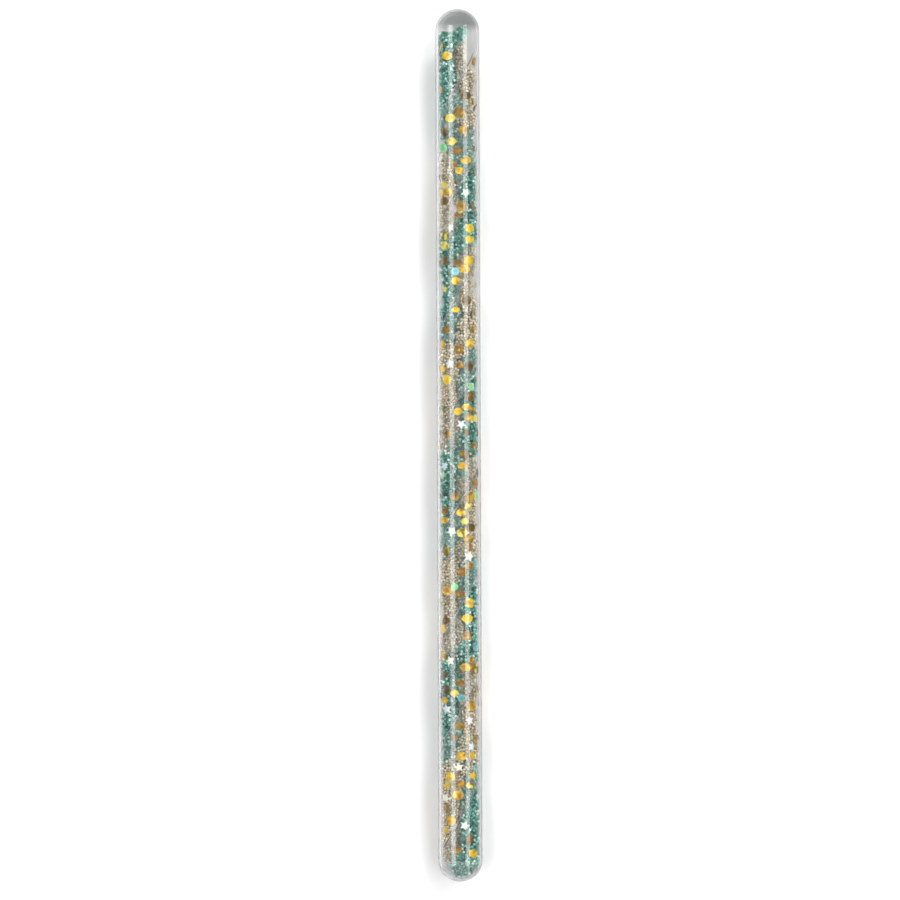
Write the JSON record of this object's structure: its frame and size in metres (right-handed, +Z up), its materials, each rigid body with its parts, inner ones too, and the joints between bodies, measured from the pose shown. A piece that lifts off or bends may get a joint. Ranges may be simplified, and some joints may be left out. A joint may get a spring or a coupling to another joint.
{
  "type": "rainstick",
  "caption": "Slim sealed clear rainstick tube with domed ends; a twisted strip splits it into two spiral chambers of small teal and silver beads mixed with foil flakes.",
  "frame": {"origin": "lowest point of the lower dome, on the tube's axis", "axes": "+Z up along the tube's axis; -Y is the face that looks up when the stick lies down"},
  "size_m": [0.019, 0.019, 0.378],
  "materials": {
    "clear_acrylic": "polished clear acrylic",
    "cement": "clear solvent cement film",
    "divider_acrylic": "clear twisted strip",
    "teal_beads": "pearl teal beads, 1.2 mm",
    "silver_beads": "pearl silver beads, 1.2 mm",
    "gold_foil": "metallised gold film",
    "white_foil": "iridescent white film",
    "green_foil": "iridescent green film"
  },
  "bodies": {
    "casing": {"clear_tube": "clear_acrylic", "lower_end_cap": "clear_acrylic", "upper_end_cap": "clear_acrylic", "lower_cement_ring": "cement", "upper_cement_ring": "cement"},
    "teal_fill": {"teal_bead_fill": "teal_beads", "teal_side_gold_hexagons": "gold_foil", "teal_side_gold_dots": "gold_foil", "teal_side_gold_stars": "gold_foil", "teal_side_white_stars": "white_foil", "teal_side_green_dots": "green_foil"},
    "silver_fill": {"silver_bead_fill": "silver_beads", "silver_side_gold_hexagons": "gold_foil", "silver_side_gold_dots": "gold_foil", "silver_side_gold_stars": "gold_foil", "silver_side_white_stars": "white_foil", "silver_side_green_dots": "green_foil"},
    "divider": {"spiral_divider": "divider_acrylic"}
  },
  "joints": [
    {"name": "teal_flow", "type": "slide", "parent": "casing", "child": "teal_fill", "axis": [0, 0, 1], "range_m": [0, 0.004]},
    {"name": "silver_flow", "type": "slide", "parent": "casing", "child": "silver_fill", "axis": [0, 0, 1], "range_m": [0, 0.004]},
    {"name": "divider_turn", "type": "hinge", "parent": "casing", "child": "divider", "pos_m": [0, 0, 0.189], "axis": [0, 0, 1], "range_deg": [-20, 0]}
  ],
  "couplings": [
    {"joint": "silver_flow", "follows": "teal_flow", "ratio": 1},
    {"joint": "divider_turn", "follows": "teal_flow", "rad_per_m": -69.389}
  ]
}
